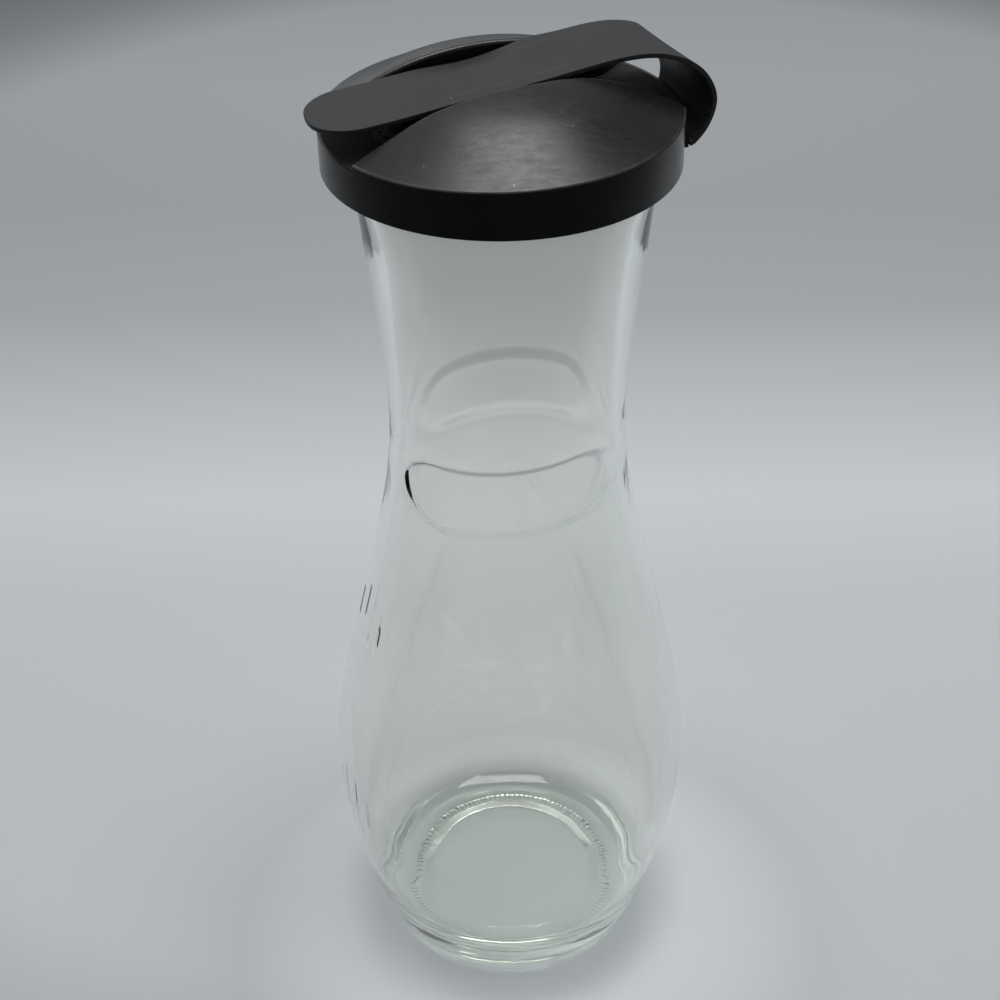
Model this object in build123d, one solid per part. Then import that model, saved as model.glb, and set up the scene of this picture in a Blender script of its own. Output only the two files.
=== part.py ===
from build123d import *
import math
import os

# Salad dressing cruet: a pear-shaped glass bottle with a pinched waist, a
# push-on moulded lid with two domed lobes, and a strap that hinges at the
# skirt's lower edge, lies in the channel between the lobes and carries the
# stopper of the pour hole under its free end.
# Millimetres, +Z up. Origin on the bottle's axis, in the plane it stands on.
# -Y is the front. The strap runs at STRAP_TURN from +X.

# ---------------------------------------------------------------- dimensions
# glass bottle
BEAR_R_IN = 20.8          # flat ring that it stands on, inner radius
BEAR_R_OUT = 23.0         # and outer radius
PUSH_UP = 1.9             # height of the hollow under the base
FLOOR_Z = 6.4             # inside floor at the centre
OUTER = [                 # outside wall (radius, height), above the heel
    (27.755, 3.455), (28.6, 6.0), (30.0, 10.2), (31.5, 15.4), (33.6, 25.0),
    (35.25, 37.0), (35.45, 44.0), (35.15, 52.0), (32.6, 66.0), (29.35, 80.0),
    (25.9, 95.0), (22.75, 110.0), (21.5, 124.0), (22.15, 140.0),
    (23.8, 156.0), (25.2, 170.0), (25.7, 174.6)]
INNER = [                 # inside wall (radius, height), from the floor's edge up
    (21.0, 7.4), (25.8, 9.3), (28.3, 13.0), (30.6, 21.0), (32.0, 30.0),
    (32.75, 37.0), (32.95, 44.0), (32.6, 52.0), (30.0, 66.0), (26.7, 80.0), (23.2, 95.0),
    (20.1, 110.0), (18.9, 124.0), (19.5, 140.0), (21.1, 156.0),
    (22.6, 168.0), (23.0, 172.6)]
LIP_R = 27.7              # outward bead of the mouth, under the skirt
MOUTH_R = 23.0            # bore of the mouth
GLASS_TOP = 178.8
# shallow grip panels pressed into the front and the back of the waist
PANEL_HALF_W = 18.3
PANEL_Z0 = 112.7
PANEL_Z1 = 125.3
PANEL_CORNER = 6.2
PANEL_DEPTH = 0.6
PANEL_LEAN = 4.6          # degrees that they rise towards +X
# raised upright ticks on the left of the body, in two rows:
# azimuth from +X, lower end, upper end
TICKS = [(186.5, 80.0, 87.0), (202.0, 78.5, 85.0), (209.5, 79.0, 85.0),
         (194.5, 33.0, 45.0), (203.0, 31.0, 44.0), (210.5, 31.0, 42.0)]
TICK_W = 0.9
TICK_H = 0.22

# lid
STRAP_TURN = 20.0
SKIRT_R = 29.9
SKIRT_Z0 = 174.4
LID_TOP = [               # top of the lid (radius, height), before its slope
    (0, 191.0), (5, 190.95), (9, 190.55), (13, 189.8), (17, 188.65),
    (20.5, 187.2), (24, 185.45), (27, 183.95), (29.9, 182.55), (34, 180.6)]
LID_SLOPE = 1.1           # degrees that the top rises towards the hinge
SKIRT_IN = 28.45
CREST_ROUND = 0.6         # rounding of the lobes along the channel
RIM_ROUND = 0.4           # and of the skirt's top edge
SHELL = 1.6
SEAT_Z = 179.0            # underside that the glass mouth meets
PLUG_R = 22.3             # ring that fits the bore of the mouth
PLUG_IN = 20.9
PLUG_Z0 = 175.0
FLOOR_TOP = 181.5         # floor of the channel at the lid's middle
# walls of the channel along the strap's line (s, distance from it)
CHANNEL_FRONT = [(-34, 10.7), (-29, 9.9), (-24, 9.4), (-18, 9.2), (-10, 9.35), (-2, 9.45),
                 (4, 9.1), (9, 8.5), (14, 8.35), (19, 8.3), (23, 8.7), (26, 9.6),
                 (28.4, 11.3), (31, 14.0), (34, 17.6)]
CHANNEL_REAR = [(-34, 10.7), (-29, 9.9), (-24, 9.4), (-18, 9.2), (-10, 9.35), (-2, 9.45),
                (4, 9.1), (9, 8.5), (14, 8.3), (18, 8.25), (21, 8.7), (23.6, 10.2),
                (26, 12.4), (28.5, 15.0), (31, 17.6), (34, 20.8)]
POUR_S = -16.4            # pour hole in the channel's floor
POUR_R = 4.1
LID_SHIFT = -0.6          # the lid sits this far off the bottle's axis, along X

# strap
STRAP_HALF_W = 7.95
STRAP_T = 0.75
STRAP_TIP = -32.3
TIP_CORNER = 7.3
HINGE_S = 30.75           # hinge line at the skirt's lower edge
HINGE_Z = 175.05
HINGE_BEAD = 0.55
HINGE_GAP = 0.12
# top surface of the strap, tip to hinge (s, z)
STRAP_TOP = [(-32.3, 186.1), (-27.0, 186.6), (-19.0, 187.35), (-10.0, 188.5),
             (0.0, 189.5), (8.0, 190.55), (14.0, 191.35), (19.5, 191.8),
             (24.4, 191.4), (28.2, 190.2), (31.4, 188.3), (33.7, 185.6),
             (34.9, 182.2), (34.3, 178.9), (32.7, 176.2), (31.25, 174.75)]
PLATE_S = (-10.5, 11.0)   # raised bare plate in the middle of the strap
PLATE_HALF_W = 5.4
PLATE_H = 0.16
STOPPER_R0 = 3.7          # stopper under the strap, at the pour hole
STOPPER_R1 = 3.1          # and at its nose
STOPPER_Z0 = 179.8


def xz(points):
    return [Vector(r, 0, z) for r, z in points]


def spline(points, t0=None, t1=None):
    pts = xz(points)
    if t0 is None:
        return Edge.make_spline(pts)
    return Edge.make_spline(pts, tangents=[Vector(t0[0], 0, t0[1]), Vector(t1[0], 0, t1[1])])


def line(a, b):
    return Edge.make_line(Vector(a[0], 0, a[1]), Vector(b[0], 0, b[1]))


def arc(a, m, b):
    return Edge.make_three_point_arc(Vector(a[0], 0, a[1]), Vector(m[0], 0, m[1]), Vector(b[0], 0, b[1]))


def turned(edges):
    face = Face(Wire(edges))
    return Solid.revolve(face, 360, Axis.Z)


# -------------------------------------------------------------- glass bottle
def glass():
    o0, on = OUTER[0], OUTER[-1]
    i0, i1 = INNER[0], INNER[-1]
    edges = [
        # hollow of the base, bearing ring and heel
        arc((0, PUSH_UP), (10.5, PUSH_UP - 0.30), (18.0, PUSH_UP - 0.9)),
        arc((18.0, PUSH_UP - 0.9), (19.6, 0.42), (BEAR_R_IN, 0)),
        line((BEAR_R_IN, 0), (BEAR_R_OUT, 0)),
        arc((BEAR_R_OUT, 0), (25.94, 0.955), o0),
        # outside wall
        spline(OUTER, (0.31, 0.95), (0.10, 0.99)),
        # bead of the mouth and its rounded top
        arc(on, (26.1, 175.7), (26.9, 176.05)),
        arc((26.9, 176.05), (LIP_R, 177.1), (26.95, 178.25)),
        arc((26.95, 178.25), (25.2, GLASS_TOP), (23.55, 178.3)),
        arc((23.55, 178.3), (23.15, 177.95), (MOUTH_R, 177.4)),
        line((MOUTH_R, 177.4), i1),
        # inside wall and floor
        spline(list(reversed(INNER)), (0.0, -1.0), (-0.956, -0.292)),
        spline([i0, (11.0, 6.45), (0, FLOOR_Z)], (-0.956, -0.292), (-1.0, 0.0)),
        line((0, FLOOR_Z), (0, PUSH_UP)),
    ]
    body = turned(edges)

    # grip panels: the skin of the waist, cut inside a rounded window
    inner_cut = [(r - PANEL_DEPTH, z) for r, z in OUTER if 94 < z < 142]
    cut_edges = [
        spline(inner_cut),
        line(inner_cut[-1], (40, inner_cut[-1][1])),
        line((40, inner_cut[-1][1]), (40, inner_cut[0][1])),
        line((40, inner_cut[0][1]), inner_cut[0]),
    ]
    collar = turned(cut_edges)
    h = PANEL_Z1 - PANEL_Z0
    window = extrude(
        Plane.XZ.offset(0) * Pos(0, (PANEL_Z0 + PANEL_Z1) / 2) * RectangleRounded(2 * PANEL_HALF_W, h, PANEL_CORNER),
        amount=60, both=True)
    window = window.rotate(Axis((0, 0, (PANEL_Z0 + PANEL_Z1) / 2), (0, 1, 0)), -PANEL_LEAN)
    body = body - (collar & window)

    # ticks, standing a little proud of the wall
    proud = [(r + TICK_H, z) for r, z in OUTER if 14 < z < 96]
    sunk = [(r - 0.8, z) for r, z in OUTER if 14 < z < 96]
    skin = turned([
        spline(proud), line(proud[-1], sunk[-1]),
        spline(list(reversed(sunk))), line(sunk[0], proud[0])])
    for az, z0, z1 in TICKS:
        slab = Pos(32, 0, (z0 + z1) / 2) * Box(20, TICK_W, z1 - z0)
        body = body + (skin & slab.rotate(Axis.Z, az))
    return body


# ----------------------------------------------------------------------- lid
def plan_prism(z0, z1, grow=0.0):
    """Prism over the channel's plan, its floor sloped like the lid's top."""
    f = [Vector(s, -(w + grow), z0) for s, w in CHANNEL_FRONT]
    r = [Vector(s, (w + grow), z0) for s, w in reversed(CHANNEL_REAR)]
    e = [Edge.make_spline(f), Edge.make_line(f[-1], r[0]),
         Edge.make_spline(r), Edge.make_line(r[-1], f[0])]
    prism = Solid.extrude(Face(Wire(e)), Vector(0, 0, z1 - z0))
    return prism.rotate(Axis((0, 0, z0), (0, 1, 0)), -LID_SLOPE)


def under_top(drop, r_max, z_low):
    """Space under the lid's top surface, dropped and cut off at r_max."""
    pts = [(r, z - drop) for r, z in LID_TOP]
    e = spline(pts, (1.0, 0.0), (0.9, -0.43))
    far = pts[-1]
    whole = turned([e, line(far, (far[0], z_low)), line((far[0], z_low), (0, z_low)), line((0, z_low), pts[0])])
    whole = whole.rotate(Axis((0, 0, 182.5), (0, 1, 0)), -LID_SLOPE)
    return whole & Solid.make_cylinder(r_max, 40, Plane((0, 0, z_low + 2)))


def lid():
    outside = under_top(0.0, SKIRT_R, SKIRT_Z0 - 2)
    # channel between the lobes
    body = (outside - plan_prism(FLOOR_TOP, 196)).solids()[0]
    crest = [e for e in body.edges()
             if e.length > 20 and abs((e @ 0.5).Y) < 14 and (e @ 0.5).Z > 184]
    body = body.fillet(CREST_ROUND, crest)
    rim = [e for e in body.edges() if e.length > 62 and 181 < (e @ 0.5).Z < 184]
    body = body.fillet(RIM_ROUND, rim)
    # lug that carries the hinge line at the right of the skirt
    body = body + Pos(27.6, 0, SKIRT_Z0 + 1.2) * Box(2 * 2.6, 2 * STRAP_HALF_W, 2.4)
    # space for the glass mouth
    groove = turned([
        line((PLUG_R, SKIRT_Z0 - 1), (SKIRT_IN, SKIRT_Z0 - 1)),
        line((SKIRT_IN, SKIRT_Z0 - 1), (SKIRT_IN, SEAT_Z)),
        line((SKIRT_IN, SEAT_Z), (PLUG_R, SEAT_Z)),
        line((PLUG_R, SEAT_Z), (PLUG_R, SKIRT_Z0 - 1)),
    ])
    body = body - groove
    # the plug ring is shorter than the skirt
    body = body - Pos(0, 0, (SKIRT_Z0 - 1 + PLUG_Z0) / 2) * Cylinder(PLUG_R + 0.01, PLUG_Z0 - SKIRT_Z0 + 1)
    # hollow under the lobes, inside the plug ring
    hollow = under_top(SHELL + 0.1, PLUG_IN, SKIRT_Z0 - 4)
    body = body - (hollow - plan_prism(FLOOR_TOP - SHELL, 196, grow=SHELL))
    # pour hole, with a low collar round it
    body = body + Pos(POUR_S, 0, 181.2) * Cylinder(POUR_R + 1.0, 1.2)
    body = body - Pos(POUR_S, 0, 180) * Cylinder(POUR_R, 12)
    # relief round the hinge bead
    relief = Cylinder(HINGE_BEAD + HINGE_GAP, 40).rotate(Axis.X, 90).moved(Location((HINGE_S, 0, HINGE_Z)))
    body = body - relief
    return body.rotate(Axis.Z, STRAP_TURN).moved(Location((LID_SHIFT, 0, 0)))


# --------------------------------------------------------------------- strap
def offset_points(points, d):
    """Points moved by d to the right of the direction of travel (downwards
    on the way from the tip to the loop)."""
    out = []
    n = len(points)
    for i, (s, z) in enumerate(points):
        a = points[max(0, i - 1)]
        b = points[min(n - 1, i + 1)]
        ts, tz = b[0] - a[0], b[1] - a[1]
        k = math.hypot(ts, tz)
        out.append((s + d * tz / k, z - d * ts / k))
    return out


def strap():
    top = spline(STRAP_TOP)
    # sample the smooth top line, and offset it for the underside
    dense = [((top @ (i / 60)).X, (top @ (i / 60)).Z) for i in range(61)]
    low = offset_points(dense, STRAP_T)
    low_pts = low[::3]
    bottom = spline(list(reversed(low_pts)))
    band = Face(Wire([
        top, line(STRAP_TOP[-1], low_pts[-1]), bottom, line(low_pts[0], STRAP_TOP[0])]))
    body = Solid.extrude(band, Vector(0, 2 * STRAP_HALF_W, 0)).moved(Location((0, -STRAP_HALF_W, 0)))
    # rounded free end
    plan = extrude(
        Pos((STRAP_TIP + 50) / 2, 0, 160) * RectangleRounded(50 - STRAP_TIP, 2 * STRAP_HALF_W, TIP_CORNER), amount=60)
    plan = plan + Pos(35, 0, 190) * Box(30, 2 * STRAP_HALF_W, 60)
    body = body & plan
    # hinge bead
    bead = Cylinder(HINGE_BEAD, 2 * STRAP_HALF_W).rotate(Axis.X, 90).moved(Location((HINGE_S, 0, HINGE_Z)))
    body = body + bead
    # bare raised plate
    up = offset_points(dense, -PLATE_H)
    sel = [i for i, p in enumerate(dense) if PLATE_S[0] <= p[0] <= PLATE_S[1] and p[1] > 180]
    t_pts = [up[i] for i in sel]
    b_pts = [(p[0], p[1] - 0.4) for p in (dense[i] for i in sel)]
    plate = Solid.extrude(Face(Wire([
        spline(t_pts), line(t_pts[-1], b_pts[-1]), spline(list(reversed(b_pts))), line(b_pts[0], t_pts[0])])),
        Vector(0, 2 * PLATE_HALF_W, 0)).moved(Location((0, -PLATE_HALF_W, 0)))
    body = body + plate
    # stopper: a hollow tapered post with a solid nose
    z_under = 187.0
    post = Solid.make_cone(STOPPER_R1, STOPPER_R0, 1.6, Plane((POUR_S, 0, STOPPER_Z0)))
    post = post + Solid.make_cylinder(STOPPER_R0, z_under - STOPPER_Z0 - 1.6, Plane((POUR_S, 0, STOPPER_Z0 + 1.6)))
    body = body + post
    return body.rotate(Axis.Z, STRAP_TURN).moved(Location((LID_SHIFT, 0, 0)))


def write(shape, name):
    solids = shape.solids()
    print(name, "solids", len(solids), "volume", round(sum(s.volume for s in solids), 1))
    out = solids[0] if len(solids) == 1 else Compound(solids)
    out.label = name
    export_step(out, "parts/" + name + ".step")


if __name__ == "__main__":
    os.makedirs("parts", exist_ok=True)
    write(glass(), "glass_bottle")
    write(lid(), "lid_cap")
    write(strap(), "closure_strap")
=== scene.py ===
import math

import bpy
import numpy as np
from mathutils import Matrix, Vector


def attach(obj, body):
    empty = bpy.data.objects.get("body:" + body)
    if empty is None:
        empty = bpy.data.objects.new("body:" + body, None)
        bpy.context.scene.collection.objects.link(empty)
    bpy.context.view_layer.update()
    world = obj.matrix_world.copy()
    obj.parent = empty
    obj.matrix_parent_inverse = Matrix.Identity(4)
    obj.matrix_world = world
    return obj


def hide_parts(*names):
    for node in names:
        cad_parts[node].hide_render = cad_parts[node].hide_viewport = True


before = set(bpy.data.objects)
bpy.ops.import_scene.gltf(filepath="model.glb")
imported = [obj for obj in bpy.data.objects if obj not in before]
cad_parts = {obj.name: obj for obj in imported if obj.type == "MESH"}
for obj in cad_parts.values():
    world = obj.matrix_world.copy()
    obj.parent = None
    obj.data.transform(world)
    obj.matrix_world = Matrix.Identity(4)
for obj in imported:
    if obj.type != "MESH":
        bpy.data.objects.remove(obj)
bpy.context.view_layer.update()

MM = 0.001

# ------------------------------------------------------------- shared helpers


def cubic(points, per_mm, t0=None, t1=None, exact=None):
    """Cubic spline through the points, sampled about per_mm times a millimetre."""
    p = np.array(points, float)
    n = len(p)
    h = np.hypot(*(p[1:] - p[:-1]).T)
    u = np.concatenate([[0], np.cumsum(h)])
    a = np.zeros((n, n))
    b = np.zeros((n, 2))
    for i in range(1, n - 1):
        a[i, i - 1], a[i, i], a[i, i + 1] = h[i], 2 * (h[i - 1] + h[i]), h[i - 1]
        b[i] = 3 * (h[i] * (p[i] - p[i - 1]) / h[i - 1] + h[i - 1] * (p[i + 1] - p[i]) / h[i])
    if t0 is None:
        a[0, 0], a[0, 1] = 2, 1
        b[0] = 3 * (p[1] - p[0]) / h[0]
    else:
        a[0, 0] = 1
        b[0] = np.array(t0) / np.hypot(*t0)
    if t1 is None:
        a[-1, -1], a[-1, -2] = 2, 1
        b[-1] = 3 * (p[-1] - p[-2]) / h[-1]
    else:
        a[-1, -1] = 1
        b[-1] = np.array(t1) / np.hypot(*t1)
    m = np.linalg.solve(a, b)
    count = exact or max(2, int(round(u[-1] * per_mm)) + 1)
    q = np.linspace(0, u[-1], count)
    k = np.clip(np.searchsorted(u, q, side="right") - 1, 0, n - 2)
    t = ((q - u[k]) / h[k])[:, None]
    hk = h[k][:, None]
    return ((2 * t**3 - 3 * t**2 + 1) * p[k] + (t**3 - 2 * t**2 + t) * hk * m[k]
            + (-2 * t**3 + 3 * t**2) * p[k + 1] + (t**3 - t**2) * hk * m[k + 1])


def arc3(a, m, b, n):
    """n + 1 points on the arc from a through m to b."""
    a, m, b = (np.array(v, float) for v in (a, m, b))
    d = 2 * (a[0] * (m[1] - b[1]) + m[0] * (b[1] - a[1]) + b[0] * (a[1] - m[1]))
    sa, sm, sb = a @ a, m @ m, b @ b
    c = np.array([(sa * (m[1] - b[1]) + sm * (b[1] - a[1]) + sb * (a[1] - m[1])) / d,
                  (sa * (b[0] - m[0]) + sm * (a[0] - b[0]) + sb * (m[0] - a[0])) / d])
    r = np.hypot(*(a - c))
    aa, am, ab = (math.atan2(*(v - c)[::-1]) for v in (a, m, b))
    turn = lambda x: (x + 2 * math.pi) % (2 * math.pi)
    if turn(am - aa) < turn(ab - aa):
        sweep = turn(ab - aa)
    else:
        sweep = -turn(aa - ab)
    t = aa + np.linspace(0, 1, n + 1) * sweep
    return c + r * np.stack([np.cos(t), np.sin(t)], -1)


def smooth(x):
    x = np.clip(x, 0, 1)
    return x * x * (3 - 2 * x)


def make_object(name, verts, faces, body, node=None, shade=True):
    me = bpy.data.meshes.new(name)
    me.from_pydata([tuple(v) for v in np.asarray(verts) * MM], [], [tuple(int(i) for i in f) for f in faces])
    me.validate()
    me.update()
    if shade:
        me.shade_smooth()
    ob = bpy.data.objects.new(name, me)
    bpy.context.scene.collection.objects.link(ob)
    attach(ob, body)
    if node:
        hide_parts(node)
    return ob


# ------------------------------------------------------------------ the bottle
BEAR_IN, BEAR_OUT, PUSH_UP, FLOOR_Z = 20.8, 23.0, 1.9, 6.4
OUTER = [(27.755, 3.455), (28.6, 6.0), (30.0, 10.2), (31.5, 15.4), (33.6, 25.0),
         (35.25, 37.0), (35.45, 44.0), (35.15, 52.0), (32.6, 66.0), (29.35, 80.0),
         (25.9, 95.0), (22.75, 110.0), (21.5, 124.0), (22.15, 140.0),
         (23.8, 156.0), (25.2, 170.0), (25.7, 174.6)]
INNER = [(21.0, 7.4), (25.8, 9.3), (28.3, 13.0), (30.6, 21.0), (32.0, 30.0),
         (32.75, 37.0), (32.95, 44.0), (32.6, 52.0), (30.0, 66.0), (26.7, 80.0), (23.2, 95.0),
         (20.1, 110.0), (18.9, 124.0), (19.5, 140.0), (21.1, 156.0),
         (22.6, 168.0), (23.0, 172.6)]
LIP_R, MOUTH_R, GLASS_TOP = 27.7, 23.0, 178.8
PANEL_W, PANEL_Z0, PANEL_Z1, PANEL_CORNER, PANEL_DEPTH = 18.3, 112.7, 125.3, 6.2, 0.6
PANEL_LEAN = math.radians(4.6)
TICKS = [(186.5, 80.0, 87.0), (202.0, 78.5, 85.0), (209.5, 79.0, 85.0),
         (194.5, 33.0, 45.0), (203.0, 31.0, 44.0), (210.5, 31.0, 42.0)]
TICK_W, TICK_H = 0.9, 0.14


def bottle_profile():
    """Closed outline from the middle of the underside to the middle of the floor."""
    out = []

    def add(pts):
        pts = [tuple(p) for p in pts]
        out.extend(pts if not out else pts[1:])

    add(arc3((0.6, PUSH_UP), (10.5, PUSH_UP - 0.30), (18.0, PUSH_UP - 0.9), 12))
    add(arc3((18.0, PUSH_UP - 0.9), (19.6, 0.42), (BEAR_IN, 0), 8))
    add([(r, 0.0) for r in np.linspace(BEAR_IN, BEAR_OUT, 13)])
    add(arc3((BEAR_OUT, 0), (25.94, 0.955), OUTER[0], 10))
    wall = cubic(OUTER, 8, (0.31, 0.95), (0.10, 0.99))
    # rows are close together only where something stands on the wall
    rows, last = [wall[0]], wall[0][1]
    for p in wall[1:-1]:
        z = p[1]
        near_panel = min(abs(z - PANEL_Z0), abs(z - PANEL_Z1)) < 3.6
        in_panel = PANEL_Z0 - 3.6 < z < PANEL_Z1 + 3.6
        near_tick = 29.5 < z < 46.5 or 77 < z < 88.5
        step = 0.26 if near_panel else 0.45 if in_panel else 0.5 if near_tick else 1.15
        if z - last >= step:
            rows.append(p)
            last = z
    rows.append(wall[-1])
    wall_from = len(out)
    add(rows)
    wall_to = len(out)
    add(arc3(OUTER[-1], (26.1, 175.7), (26.9, 176.05), 5))
    add(arc3((26.9, 176.05), (LIP_R, 177.1), (26.95, 178.25), 7))
    add(arc3((26.95, 178.25), (25.2, GLASS_TOP), (23.55, 178.3), 7))
    add(arc3((23.55, 178.3), (23.15, 177.95), (MOUTH_R, 177.4), 4))
    add([(MOUTH_R, z) for z in np.linspace(177.4, INNER[-1][1], 5)])
    add(cubic(list(reversed(INNER)), 0.9, (0.0, -1.0), (-0.956, -0.292)))
    add(cubic([INNER[0], (11.0, 6.45), (0.0, FLOOR_Z)], 0.8, (-0.956, -0.292), (-1.0, 0.0))[:-1])
    return np.array(out), wall_from, wall_to


def bottle():
    prof, w0, w1 = bottle_profile()
    az = np.arange(0, 360, 0.75)
    a = np.radians(az)[None, :]
    r = np.repeat(prof[:, :1], a.shape[1], 1)
    z = np.repeat(prof[:, 1:], a.shape[1], 1)
    x, y = r * np.cos(a), r * np.sin(a)
    is_wall = np.zeros_like(r, bool)
    is_wall[w0:w1 - 1] = True
    # grip panels: distance inside the rounded window, on the front and the back
    mid = (PANEL_Z0 + PANEL_Z1) / 2
    hz = (PANEL_Z1 - PANEL_Z0) / 2
    px = x * math.cos(PANEL_LEAN) + (z - mid) * math.sin(PANEL_LEAN)
    pz = (z - mid) * math.cos(PANEL_LEAN) - x * math.sin(PANEL_LEAN)
    qx = np.abs(px) - (PANEL_W - PANEL_CORNER)
    qz = np.abs(pz) - (hz - PANEL_CORNER)
    inside = PANEL_CORNER - (np.hypot(np.maximum(qx, 0), np.maximum(qz, 0)) + np.minimum(np.maximum(qx, qz), 0))
    # the step is crisp at the front's left end and lower edge, soft at the
    # right ends and behind
    front = smooth(0.5 - y / 6)
    low = smooth((-pz - 1.5) / 3.5)
    left = smooth((-px - 9) / 6)
    soft = 1.5 + 0.9 * smooth((px - 12) / 6) - front * np.maximum(0.66 * left, 0.74 * low) + (1 - front) * (2.0 * low + 0.8)
    depth = PANEL_DEPTH * smooth(inside / soft + 0.45)
    move = np.where(is_wall, -depth, 0.0)
    # the inside wall follows the pressed panels, much softened
    inner = np.zeros_like(r, bool)
    inner[w1 + 20:] = True
    swell = smooth((inside + 2.5) / 5.0) * 0.24 + 0.05 * np.sin(3 * a + 0.06 * z) + 0.03 * np.sin(5 * a - 0.11 * z + 1.0)
    move = move - np.where(inner & (z > 12) & (z < 168), swell * smooth((z - 12) / 20) * smooth((168 - z) / 15), 0.0)
    # upright ticks
    for az0, z0, z1 in TICKS:
        off = r * np.radians((np.degrees(a) - az0 + 180) % 360 - 180)
        up = smooth((TICK_W / 2 + 0.35 - np.abs(off)) / 0.8) * smooth((z - z0 + 0.3) / 1.0) * smooth((z1 + 0.3 - z) / 1.0)
        move = move + np.where(is_wall, TICK_H * up, 0.0)
    # stippled ring that the bottle stands on: a hundred and twenty dimples
    ring = (r > BEAR_IN - 0.01) & (r < BEAR_OUT + 0.01) & (z < 0.01) & (np.arange(len(prof))[:, None] < w0)
    lane = np.clip(np.sin(np.pi * (r - BEAR_IN) / (BEAR_OUT - BEAR_IN)), 0, 1)
    worn = 0.72 + 0.18 * np.sin(3 * a + 0.7) + 0.10 * np.sin(11 * a)
    bead = (0.5 - 0.5 * np.cos(120 * a)) * worn
    z = z + np.where(ring, 0.55 * lane * bead, 0.0)
    r2 = r + move
    verts = np.stack([r2 * np.cos(a), r2 * np.sin(a), z], -1).reshape(-1, 3)
    rows, cols = r.shape
    low = len(verts)
    verts = np.concatenate([verts, [[0, 0, PUSH_UP + 0.01], [0, 0, FLOOR_Z]]])
    faces = []
    for i in range(rows - 1):
        for j in range(cols):
            k = (j + 1) % cols
            faces.append((i * cols + j, i * cols + k, (i + 1) * cols + k, (i + 1) * cols + j))
    e = (rows - 1) * cols
    for j in range(cols):
        k = (j + 1) % cols
        faces.append((low, k, j))
        faces.append((low + 1, e + j, e + k))
    return make_object("glass_bottle_body", verts, faces, "bottle", "glass_bottle")


# ------------------------------------------------------------------- the strap
TURN = math.radians(20.0)
STRAP_HALF_W, STRAP_T, TIP_CORNER = 7.95, 0.75, 7.3
HINGE_S, HINGE_Z, HINGE_BEAD = 30.75, 175.05, 0.55
STRAP_TOP = [(-32.3, 186.1), (-27.0, 186.6), (-19.0, 187.35), (-10.0, 188.5),
             (0.0, 189.5), (8.0, 190.55), (14.0, 191.35), (19.5, 191.8),
             (24.4, 191.4), (28.2, 190.2), (31.4, 188.3), (33.7, 185.6),
             (34.9, 182.2), (34.3, 178.9), (32.7, 176.2), (31.25, 174.75)]
PLATE_S0, PLATE_S1, PLATE_HALF_W, PLATE_H = -10.5, 11.0, 5.4, 0.16
LID_SHIFT, LOOP_TWIST = -0.6, 2.3
POUR_S, STOPPER_R0, STOPPER_R1, STOPPER_Z0 = -16.4, 3.7, 3.1, 179.8


def turned_frame(s, n, z):
    c, k = math.cos(TURN), math.sin(TURN)
    return np.stack([s * c - n * k + LID_SHIFT, s * k + n * c, z + 0 * s], -1)


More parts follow.
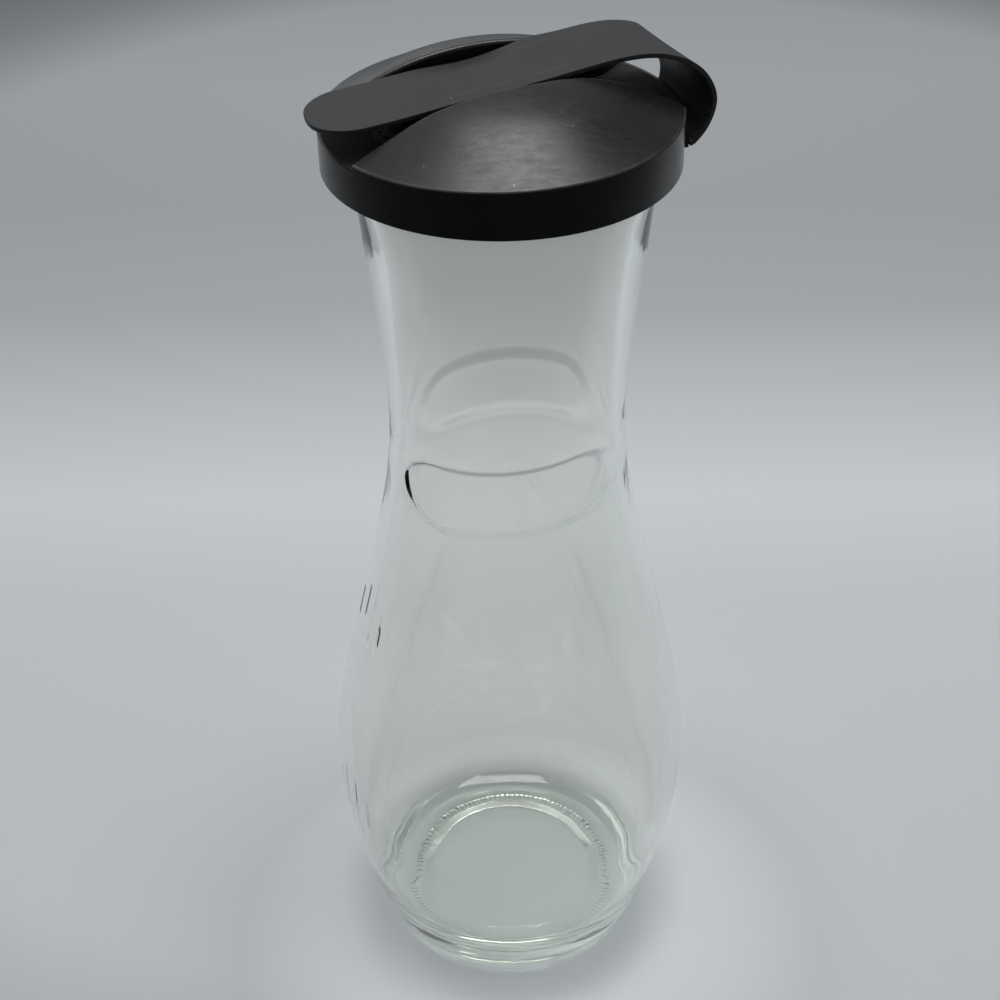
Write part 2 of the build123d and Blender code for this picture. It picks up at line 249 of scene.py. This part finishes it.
def strap():
    line = cubic(STRAP_TOP, 6)
    # stations: close together at the rounded tip and at the plate's ends
    seg = np.hypot(*(line[1:] - line[:-1]).T)
    u = np.concatenate([[0], np.cumsum(seg)])
    tip = TIP_CORNER * (1 - np.cos(np.linspace(0, math.pi / 2, 15)))
    rest = np.arange(tip[-1] + 0.6, u[-1] - 0.2, 0.62)
    u_plate = [np.interp(v, line[:200, 0], u[:200]) for v in (PLATE_S0, PLATE_S1)]
    extra = np.concatenate([v + np.linspace(-0.45, 0.45, 7) for v in u_plate])
    st = np.sort(np.concatenate([tip, rest, extra, [u[-1]]]))
    st = st[np.concatenate([[True], np.diff(st) > 0.05])]
    s = np.interp(st, u, line[:, 0])
    z = np.interp(st, u, line[:, 1])
    tg = np.stack([np.gradient(line[:, 0], u), np.gradient(line[:, 1], u)], -1)
    ts, tz = np.interp(st, u, tg[:, 0]), np.interp(st, u, tg[:, 1])
    k = np.hypot(ts, tz)
    ns, nz = -tz / k, ts / k
    d = np.minimum(s - STRAP_TOP[0][0], TIP_CORNER) * (st < 40) + TIP_CORNER * (st >= 40)
    w = STRAP_HALF_W - TIP_CORNER + np.sqrt(np.maximum(TIP_CORNER**2 - (TIP_CORNER - d) ** 2, 0))
    pw = PLATE_HALF_W / STRAP_HALF_W
    cols = np.concatenate([np.linspace(-1, -pw - 0.05, 5), -pw + np.array([-0.03, -0.015, 0.0, 0.015, 0.03]),
                           np.linspace(-pw + 0.05, pw - 0.05, 13),
                           pw + np.array([-0.03, -0.015, 0.0, 0.015, 0.03]), np.linspace(pw + 0.05, 1, 5)])
    b = w[:, None] * cols[None, :]
    # bare raised plate
    inx = smooth((PLATE_HALF_W - np.abs(b)) / 0.9 + 0.5)
    ins = smooth((np.minimum(s - PLATE_S0, PLATE_S1 - s) / 0.9 + 0.5))[:, None] * (st < 50)[:, None]
    lift = PLATE_H * inx * ins
    # the underside runs a little hollow between its two thicker edges
    under = STRAP_T - 0.12 * smooth((6.6 - np.abs(b)) / 0.8) * smooth((st[:, None] - 8) / 3) * smooth((60 - st[:, None]) / 3)
    rows, m = b.shape
    # the bend stands out less towards the rear edge
    pull = LOOP_TWIST * smooth((s - 26.0) / 7.0)[:, None] * smooth((z - 175.2) / 3.5)[:, None] * (b + STRAP_HALF_W) / (2 * STRAP_HALF_W)
    # its rear edge hangs a little lower in the middle of the lid, and rises
    # again before the bend
    on_lid = (st < 50) * 1.0
    wave = on_lid * (0.35 * np.exp(-((s - 7.5) / 3.5) ** 2) - 0.65 * np.exp(-((s + 4.0) / 6.5) ** 2))
    edge = wave[:, None] * smooth(b / STRAP_HALF_W)
    top = turned_frame(s[:, None] + ns[:, None] * lift - pull, b, z[:, None] + nz[:, None] * lift + edge)
    bot = turned_frame(s[:, None] - ns[:, None] * under - pull, b, z[:, None] - nz[:, None] * under + edge)
    verts = np.concatenate([top.reshape(-1, 3), bot.reshape(-1, 3)])
    o = rows * m
    faces = []
    for i in range(rows - 1):
        for j in range(m - 1):
            q = (i * m + j, (i + 1) * m + j, (i + 1) * m + j + 1, i * m + j + 1)
            faces.append(q)
            faces.append(tuple(o + v for v in reversed(q)))
        for j, flip in ((0, False), (m - 1, True)):
            q = (i * m + j, o + i * m + j, o + (i + 1) * m + j, (i + 1) * m + j)
            faces.append(tuple(reversed(q)) if flip else q)
    for i, flip in ((0, True), (rows - 1, False)):
        for j in range(m - 1):
            q = (i * m + j, o + i * m + j, o + i * m + j + 1, i * m + j + 1)
            faces.append(tuple(reversed(q)) if flip else q)
    ob = make_object("closure_strap_band", verts, faces, "strap", "closure_strap")
    bev = ob.modifiers.new("edge", "BEVEL")
    bev.width = 0.2 * MM
    bev.segments = 3
    bev.limit_method = "ANGLE"
    bev.angle_limit = math.radians(50)
    bev.harden_normals = False
    return ob


def turned_piece(name, prof, at, axis_n, body, count=64):
    """Solid of revolution: outline (r, h), about +Z at `at`, or about the hinge line."""
    a = np.linspace(0, 2 * math.pi, count, endpoint=False)[None, :]
    prof = np.array(prof, float)
    r = prof[:, :1]
    h = np.repeat(prof[:, 1:], count, 1)
    if axis_n:
        s, n, z = at[0] + r * np.cos(a), at[1] + h, at[2] + r * np.sin(a)
    else:
        s, n, z = at[0] + r * np.cos(a), at[1] + r * np.sin(a), at[2] + h
    verts = turned_frame(s, n, z).reshape(-1, 3)
    rows = len(prof)
    faces = []
    for i in range(rows - 1):
        for j in range(count):
            k = (j + 1) % count
            q = (i * count + j, i * count + k, (i + 1) * count + k, (i + 1) * count + j)
            faces.append(tuple(reversed(q)) if axis_n else q)
    ends = [tuple(range(count)), tuple(range((rows - 1) * count, rows * count))]
    faces.append(ends[0] if axis_n else tuple(reversed(ends[0])))
    faces.append(tuple(reversed(ends[1])) if axis_n else ends[1])
    return make_object(name, verts, faces, body)


# ------------------------------------------------------------------- materials


def tree_of(name):
    mat = bpy.data.materials.new(name)
    mat.use_nodes = True
    nt = mat.node_tree
    return mat, nt, nt.nodes["Principled BSDF"]


def node(nt, kind, **values):
    n = nt.nodes.new(kind)
    for k, v in values.items():
        if k.startswith("_"):
            setattr(n, k[1:], v)
        else:
            n.inputs[k.replace("__", " ")].default_value = v
    return n


def coords(nt, scale=(1, 1, 1)):
    c = nt.nodes.new("ShaderNodeTexCoord")
    m = nt.nodes.new("ShaderNodeMapping")
    m.inputs["Scale"].default_value = scale
    nt.links.new(c.outputs["Object"], m.inputs["Vector"])
    return m.outputs["Vector"]


def ramp(nt, source, stops):
    n = nt.nodes.new("ShaderNodeValToRGB")
    e = n.color_ramp.elements
    while len(e) < len(stops):
        e.new(0.5)
    for el, (pos, col) in zip(e, stops):
        el.position = pos
        el.color = col if len(col) == 4 else (*col, 1)
    nt.links.new(source, n.inputs["Fac"])
    return n.outputs["Color"]


def noise(nt, vec, scale, detail=3.0, rough=0.5, **kw):
    n = node(nt, "ShaderNodeTexNoise", Scale=scale, Detail=detail, Roughness=rough, **kw)
    nt.links.new(vec, n.inputs["Vector"])
    return n.outputs["Fac"]


def mixed(nt, fac, a, b, blend="MIX"):
    n = nt.nodes.new("ShaderNodeMix")
    n.data_type = "RGBA"
    n.blend_type = blend
    for sock, v in ((n.inputs["Factor"], fac), (n.inputs["A"], a), (n.inputs["B"], b)):
        if hasattr(v, "links") or hasattr(v, "is_linked"):
            nt.links.new(v, sock)
        else:
            sock.default_value = v if isinstance(v, float) else (*v, 1)
    return n.outputs["Result"]


def ranged(nt, source, lo, hi, a=0.0, b=1.0):
    n = node(nt, "ShaderNodeMapRange")
    n.inputs["From Min"].default_value = a
    n.inputs["From Max"].default_value = b
    n.inputs["To Min"].default_value = lo
    n.inputs["To Max"].default_value = hi
    nt.links.new(source, n.inputs["Value"])
    return n.outputs["Result"]


def black_plastic(name, base, light, r_lo, r_hi, grain, dust, spec=0.5, rim=False):
    """Moulded black plastic: fine grain, soft cloudiness and rub marks, a few specks."""
    mat, nt, bsdf = tree_of(name)
    vec = coords(nt)
    cloud = noise(nt, vec, 95.0, 4.0, 0.6)
    rub = noise(nt, coords(nt, (1.0, 2.6, 1.0)), 420.0, 5.0, 0.65)
    fine = noise(nt, vec, 5200.0, 2.0, 0.5)
    speck = nt.nodes.new("ShaderNodeTexVoronoi")
    speck.inputs["Scale"].default_value = 330.0
    speck.feature = "F1"
    nt.links.new(vec, speck.inputs["Vector"])
    spot = ranged(nt, speck.outputs["Distance"], 1.0, 0.0, 0.03, 0.075)
    keep = ranged(nt, noise(nt, vec, 150.0, 2.0), 0.0, 1.0, 0.60, 0.66)
    m = node(nt, "ShaderNodeMath", _operation="MULTIPLY")
    nt.links.new(spot, m.inputs[0])
    nt.links.new(keep, m.inputs[1])
    col = mixed(nt, ranged(nt, cloud, 0.0, 1.0, 0.3, 0.7), base, light)
    worn = ranged(nt, rub, 0.0, 0.35, 0.55, 0.85)
    col = mixed(nt, worn, col, tuple(v * 1.6 for v in light))
    d = node(nt, "ShaderNodeMath", _operation="MULTIPLY")
    d.inputs[1].default_value = dust
    nt.links.new(m.outputs["Value"], d.inputs[0])
    col = mixed(nt, d.outputs["Value"], col, (0.42, 0.42, 0.40))
    both = node(nt, "ShaderNodeMath", _operation="ADD")
    nt.links.new(ranged(nt, cloud, 0.0, r_hi - r_lo, 0.3, 0.7), both.inputs[0])
    nt.links.new(ranged(nt, rub, r_lo - 0.01, r_lo + 0.10, 0.38, 0.72), both.inputs[1])
    rough = both.outputs["Value"]
    if rim:
        # the skirt is smoother than the domes and the channel is rougher; the skirt's top edge gets a painted
        # highlight, a thin line of lighter base colour
        c = nt.nodes.new("ShaderNodeTexCoord")
        part = nt.nodes.new("ShaderNodeSeparateXYZ")
        nt.links.new(c.outputs["Object"], part.inputs["Vector"])
        slope = node(nt, "ShaderNodeMath", _operation="MULTIPLY_ADD")
        nt.links.new(part.outputs["X"], slope.inputs[0])
        slope.inputs[1].default_value = -0.018
        nt.links.new(part.outputs["Z"], slope.inputs[2])
        height = slope.outputs["Value"]
        low = ranged(nt, height, 1.0, 0.0, 0.18180, 0.18235)
        flat = nt.nodes.new("ShaderNodeVectorMath")
        flat.operation = "DISTANCE"
        level = nt.nodes.new("ShaderNodeCombineXYZ")
        nt.links.new(part.outputs["X"], level.inputs["X"])
        nt.links.new(part.outputs["Y"], level.inputs["Y"])
        nt.links.new(level.outputs["Vector"], flat.inputs[0])
        flat.inputs[1].default_value = (LID_SHIFT * MM, 0.0, 0.0)
        calm = node(nt, "ShaderNodeMath", _operation="MULTIPLY_ADD")
        nt.links.new(low, calm.inputs[0])
        nt.links.new(ranged(nt, flat.outputs["Value"], 0.50, -0.15, 0.0292, 0.0296), calm.inputs[1])
        nt.links.new(rough, calm.inputs[2])
        rough = calm.outputs["Value"]
        # painted highlight: a thin lighter line of base colour along the skirt's top edge
        edge = node(nt, "ShaderNodeMath", _operation="MULTIPLY")
        nt.links.new(ranged(nt, flat.outputs["Value"], 0.0, 1.0, 0.02948, 0.02968), edge.inputs[0])
        nt.links.new(ranged(nt, height, 0.0, 1.0, 0.18218, 0.18238), edge.inputs[1])
        painted_rim_highlight = node(nt, "ShaderNodeMath", _operation="MULTIPLY")
        nt.links.new(edge.outputs["Value"], painted_rim_highlight.inputs[0])
        nt.links.new(ranged(nt, cloud, 0.25, 1.0, 0.35, 0.6), painted_rim_highlight.inputs[1])
        col = mixed(nt, painted_rim_highlight.outputs["Value"], col, (0.050, 0.051, 0.052))
    nt.links.new(col, bsdf.inputs["Base Color"])
    nt.links.new(rough, bsdf.inputs["Roughness"])
    bsdf.inputs["Specular IOR Level"].default_value = spec
    bsdf.inputs["IOR"].default_value = 1.5
    bump = node(nt, "ShaderNodeBump", Strength=1.0, Distance=grain)
    add = node(nt, "ShaderNodeMath", _operation="ADD")
    nt.links.new(fine, add.inputs[0])
    nt.links.new(ranged(nt, rub, 0.0, 1.2), add.inputs[1])
    nt.links.new(add.outputs["Value"], bump.inputs["Height"])
    nt.links.new(bump.outputs["Normal"], bsdf.inputs["Normal"])
    return mat


def clear_glass(name):
    mat, nt, bsdf = tree_of(name)
    vec = coords(nt)
    streak = noise(nt, coords(nt, (1.0, 1.0, 0.28)), 60.0, 3.0, 0.55)
    ripple = noise(nt, vec, 300.0, 2.0, 0.5)
    tint = mixed(nt, ranged(nt, streak, 0.0, 1.0, 0.35, 0.65), (0.966, 0.982, 0.952), (0.986, 0.994, 0.976))
    nt.links.new(tint, bsdf.inputs["Base Color"])
    nt.links.new(ranged(nt, noise(nt, vec, 45.0, 4.0, 0.6), 0.0, 0.035, 0.45, 0.8), bsdf.inputs["Roughness"])
    bsdf.inputs["IOR"].default_value = 1.5
    bsdf.inputs["Transmission Weight"].default_value = 1.0
    bump = node(nt, "ShaderNodeBump", Strength=1.0, Distance=0.00004)
    add = node(nt, "ShaderNodeMath", _operation="ADD")
    nt.links.new(streak, add.inputs[0])
    nt.links.new(ranged(nt, ripple, 0.0, 0.15), add.inputs[1])
    nt.links.new(add.outputs["Value"], bump.inputs["Height"])
    nt.links.new(bump.outputs["Normal"], bsdf.inputs["Normal"])
    vol = node(nt, "ShaderNodeVolumeAbsorption", Density=9.0)
    vol.inputs["Color"].default_value = (0.76, 0.88, 0.74, 1)
    nt.links.new(vol.outputs["Volume"], nt.nodes["Material Output"].inputs["Volume"])
    return mat


def set_material(ob, mat):
    ob.data.materials.clear()
    ob.data.materials.append(mat)


glass = clear_glass("clear_glass")
lid_black = black_plastic("lid_black", (0.0040, 0.0042, 0.0045), (0.0070, 0.0072, 0.0074), 0.27, 0.36, 0.000013, 0.5, 0.37, rim=True)
strap_black = black_plastic("strap_black", (0.012, 0.012, 0.0125), (0.018, 0.018, 0.0185), 0.44, 0.54, 0.00002, 0.35, 0.37)

body = bottle()
set_material(body, glass)

band = strap()
set_material(band, strap_black)
bead = turned_piece("strap_hinge_bead",
                    [(0.40, -7.95), (0.50, -7.9), (0.55, -7.75), (0.55, 7.75), (0.50, 7.9), (0.40, 7.95)],
                    (HINGE_S, 0, HINGE_Z), True, "strap", 32)
set_material(bead, strap_black)
stopper = turned_piece("strap_stopper",
                       [(2.2, 5.3), (2.2, 0.25), (2.35, 0.05), (2.75, 0.0), (3.0, 0.12), (3.12, 0.4), (3.66, 1.6), (3.7, 1.9),
                        (3.7, 6.75), (3.8, 7.05)],
                       (POUR_S, 0, STOPPER_Z0), False, "strap", 72)
set_material(stopper, strap_black)

set_material(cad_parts["lid_cap"], lid_black)

# ----------------------------------------------------------- floor and backdrop


def floor():
    """Pale sheet with painted light: painted bands of light and shade from front to back, painted shade away from a
    spot just behind the bottle, and a painted pool of light right under the bottle against its shadow.
    """
    n, r_max = 96, 2.2
    radii = [0.25, 0.6, 1.2, r_max]
    verts, faces = [(0.0, 0.0, 0.0)], []
    for r in radii:
        verts += [(r * math.cos(2 * math.pi * k / n), r * math.sin(2 * math.pi * k / n), 0.0) for k in range(n)]
    for k in range(n):
        faces.append((0, 1 + k, 1 + (k + 1) % n))
        for i in range(len(radii) - 1):
            a, b = 1 + i * n, 1 + (i + 1) * n
            faces.append((a + k, b + k, b + (k + 1) % n, a + (k + 1) % n))
    me = bpy.data.meshes.new("floor_sheet")
    me.from_pydata(verts, [], faces)
    me.update()
    ob = bpy.data.objects.new("floor_sheet", me)
    bpy.context.scene.collection.objects.link(ob)
    mat, nt, bsdf = tree_of("pale_sheet")
    vec = coords(nt)
    tone = noise(nt, vec, 2.2, 2.0, 0.4)
    part = nt.nodes.new("ShaderNodeSeparateXYZ")
    nt.links.new(vec, part.inputs["Vector"])
    # painted light and shade: the sheet's colour rises and falls in bands over the depth of the picture: 0 at y =
    # -0.2 m, 1 at y = 0.8 m
    depth = ranged(nt, part.outputs["Y"], 0.0, 1.0, -0.2, 0.8)
    tint = lambda v: (v * 0.968, v, v * 1.028)
    painted_bands = ramp(nt, depth, [
        (0.0, tint(0.28)), (0.10, tint(0.445)), (0.165, tint(0.525)), (0.30, tint(0.545)),
        (0.345, tint(0.605)), (0.39, tint(0.525)), (0.455, tint(0.400)), (0.535, tint(0.375)), (0.65, tint(0.415)), (1.0, tint(0.37))])
    # painted shade: the sheet's colour darkens with distance from a spot just behind the bottle, darkest in front
    # and far away
    near = nt.nodes.new("ShaderNodeVectorMath")
    near.operation = "DISTANCE"
    near.inputs[1].default_value = (0.03, 0.26, 0.0)
    nt.links.new(vec, near.inputs[0])
    painted_shade_falloff = ramp(nt, near.outputs["Value"], [
        (0.0, (1.0, 1.0, 1.0)), (0.30, (1.0, 1.0, 1.0)), (0.36, (0.62, 0.62, 0.62)), (0.46, (0.30, 0.30, 0.30)), (1.0, (0.22, 0.22, 0.22))])
    col = mixed(nt, 1.0, painted_bands, painted_shade_falloff, "MULTIPLY")
    # painted light: the sheet is palest right under the bottle, a painted pool of light that fills in the bottle's
    # shadow
    under = nt.nodes.new("ShaderNodeVectorMath")
    under.operation = "DISTANCE"
    under.inputs[1].default_value = (0.004, -0.014, 0.0)
    nt.links.new(vec, under.inputs[0])
    col = mixed(nt, ranged(nt, under.outputs["Value"], 1.0, 0.0, 0.026, 0.062), col, (0.775, 0.800, 0.822))
    col = mixed(nt, ranged(nt, tone, 0.0, 0.05, 0.35, 0.65), col, (0.40, 0.42, 0.44))
    nt.links.new(col, bsdf.inputs["Base Color"])
    bsdf.inputs["Roughness"].default_value = 0.9
    bsdf.inputs["Specular IOR Level"].default_value = 0.2
    set_material(ob, mat)
    return ob


floor()

# ---------------------------------------------------------------------- lights


def area(name, at, look, size, power, color=(1, 1, 1)):
    li = bpy.data.lights.new(name, "AREA")
    li.shape = "RECTANGLE"
    li.size, li.size_y = size
    li.energy = power
    li.color = color
    ob = bpy.data.objects.new(name, li)
    ob.location = at
    ob.rotation_euler = (Vector(look) - Vector(at)).to_track_quat("-Z", "Y").to_euler()
    bpy.context.scene.collection.objects.link(ob)
    return ob


area("overhead", (0.035, 0.06, 0.80), (0.035, 0.06, 0.0), (0.35, 0.32), 3.0)

# the room: bright at the sides, dimmer behind on the right, dark in front
world = bpy.data.worlds.new("room")
world.use_nodes = True
wt = world.node_tree
where = wt.nodes.new("ShaderNodeTexCoord")
part = wt.nodes.new("ShaderNodeSeparateXYZ")
wt.links.new(where.outputs["Generated"], part.inputs["Vector"])
behind = ranged(wt, part.outputs["Y"], 0.0, 1.0, -0.20, 0.35)
side = ranged(wt, part.outputs["X"], 0.85, 0.24, -0.55, 0.5)
ahead = ranged(wt, part.outputs["Y"], 0.10, 0.75, -0.85, -0.25)
blend = wt.nodes.new("ShaderNodeMix")
blend.data_type = "FLOAT"
wt.links.new(behind, blend.inputs["Factor"])
wt.links.new(ahead, blend.inputs["A"])
wt.links.new(side, blend.inputs["B"])
room = wt.nodes["Background"]
room.inputs["Color"].default_value = (0.94, 0.97, 1.0, 1)
wt.links.new(blend.outputs["Result"], room.inputs["Strength"])
bpy.context.scene.world = world

# ---------------------------------------------------------------------- camera
CAM_X, CAM_D, CAM_H = -0.494, 263.53, 296.64
DOWN, YAW, ROLL = math.radians(36.113), math.radians(-0.22), math.radians(-0.694)
f = Vector((math.sin(YAW) * math.cos(DOWN), math.cos(YAW) * math.cos(DOWN), -math.sin(DOWN)))
rt = Vector((math.cos(YAW), -math.sin(YAW), 0.0))
up = rt.cross(f)
rt2 = math.cos(ROLL) * rt + math.sin(ROLL) * up
up2 = -math.sin(ROLL) * rt + math.cos(ROLL) * up
cam = bpy.data.cameras.new("camera")
cam.sensor_fit = "HORIZONTAL"
cam.sensor_width = 36.0
cam.lens = 36.0 * 1.7304
cam.clip_start = 0.01
cam.clip_end = 20.0
cam_ob = bpy.data.objects.new("camera", cam)
cam_ob.matrix_world = Matrix((
    (rt2.x, up2.x, -f.x, CAM_X * MM),
    (rt2.y, up2.y, -f.y, -CAM_D * MM),
    (rt2.z, up2.z, -f.z, CAM_H * MM),
    (0, 0, 0, 1)))
bpy.context.scene.collection.objects.link(cam_ob)
bpy.context.scene.camera = cam_ob

scene = bpy.context.scene
scene.view_settings.view_transform = "Standard"
scene.view_settings.look = "None"
scene.cycles.max_bounces = 24
scene.cycles.transmission_bounces = 24
scene.cycles.glossy_bounces = 20
scene.cycles.transparent_max_bounces = 16
scene.cycles.caustics_refractive = True
scene.cycles.caustics_reflective = True
scene.cycles.blur_glossy = 0.2
